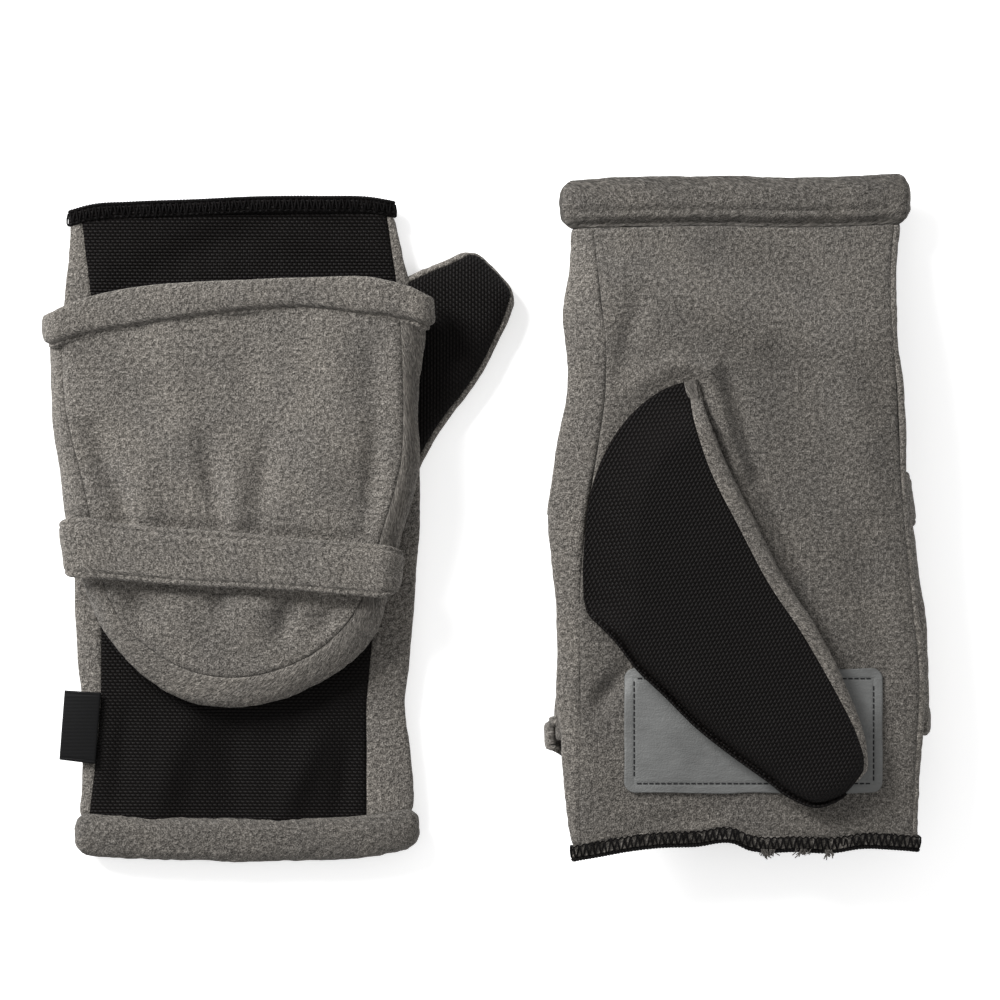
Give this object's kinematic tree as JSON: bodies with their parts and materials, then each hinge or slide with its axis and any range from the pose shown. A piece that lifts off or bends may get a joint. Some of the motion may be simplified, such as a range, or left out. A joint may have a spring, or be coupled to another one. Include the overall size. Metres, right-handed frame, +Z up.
{
  "type": "convertible flip-top mittens",
  "caption": "Fleece fingerless mittens laid flat as a pair, each with a flip-over finger hood held under a strap, a closed thumb, a knit back and a grip patch on the palm.",
  "frame": {"origin": "middle of the pair's footprint, on the surface the pair lies on", "axes": "+Z up from the surface; +Y towards the left mitten's finger opening; +X from the left mitten to the right one"},
  "size_m": [0.2666, 0.2028, 0.0308],
  "materials": {
    "fleece": "heathered grey brushed fleece",
    "stretch_knit": "black textured stretch knit",
    "overlock_thread": "black overlocked edge",
    "grip_leather": "grey grained synthetic leather",
    "patch_thread": "dark grey sewing thread",
    "woven_label": "black woven tape"
  },
  "bodies": {
    "left_glove": {"left_palm_panel": "fleece", "left_thumb_side_gusset": "fleece", "left_outer_side_gusset": "fleece", "left_back_panel": "stretch_knit", "left_wrist_hem": "fleece", "left_finger_binding": "overlock_thread", "left_strap": "fleece", "left_grip_patch": "grip_leather", "left_patch_stitching": "patch_thread"},
    "left_hood": {"left_hood_back": "fleece", "left_hood_border": "fleece", "left_hood_front": "fleece", "left_hood_hem": "fleece"},
    "left_thumb": {"left_thumb_front": "fleece", "left_thumb_back": "stretch_knit"},
    "right_glove": {"right_palm_panel": "fleece", "right_thumb_side_gusset": "fleece", "right_outer_side_gusset": "fleece", "right_back_panel": "stretch_knit", "right_wrist_hem": "fleece", "right_finger_binding": "overlock_thread", "right_strap": "fleece", "right_grip_patch": "grip_leather", "right_patch_stitching": "patch_thread"},
    "right_hood": {"right_hood_back": "fleece", "right_hood_border": "fleece", "right_hood_front": "fleece", "right_hood_hem": "fleece"},
    "right_thumb": {"right_thumb_front": "fleece", "right_thumb_back": "stretch_knit"},
    "left_label": {"left_side_label": "woven_label"}
  },
  "joints": [
    {"name": "left_hood_flip", "type": "hinge", "parent": "left_glove", "child": "left_hood", "pos_m": [-0.075, 0.0741, 0.0094], "axis": [-1, 0, 0], "range_deg": [0, 180], "deforming": ["left_strap", "left_hood_border", "left_hood_front", "left_hood_hem"]},
    {"name": "left_thumb_fold", "type": "hinge", "parent": "left_glove", "child": "left_thumb", "pos_m": [-0.0211, 0.0441, 0], "axis": [0, 1, 0], "range_deg": [0, 170]},
    {"name": "left_label_lift", "type": "hinge", "parent": "left_glove", "child": "left_label", "pos_m": [-0.1172, -0.0614, 0.0088], "axis": [0, 1, 0], "range_deg": [0, 160]},
    {"name": "pair_spread", "type": "slide", "parent": "left_glove", "child": "right_glove", "axis": [1, 0, 0], "range_m": [0, 0.15]},
    {"name": "right_hood_flip", "type": "hinge", "parent": "right_glove", "child": "right_hood", "pos_m": [0.075, -0.0741, 0.0137], "axis": [-1, 0, 0], "range_deg": [0, 180], "deforming": ["right_strap", "right_hood_border", "right_hood_front", "right_hood_hem"]},
    {"name": "right_thumb_fold", "type": "hinge", "parent": "right_glove", "child": "right_thumb", "pos_m": [0.03259, 0.01568, 0.0233], "axis": [-0.309, -0.9511, 0], "range_deg": [0, 100]}
  ]
}
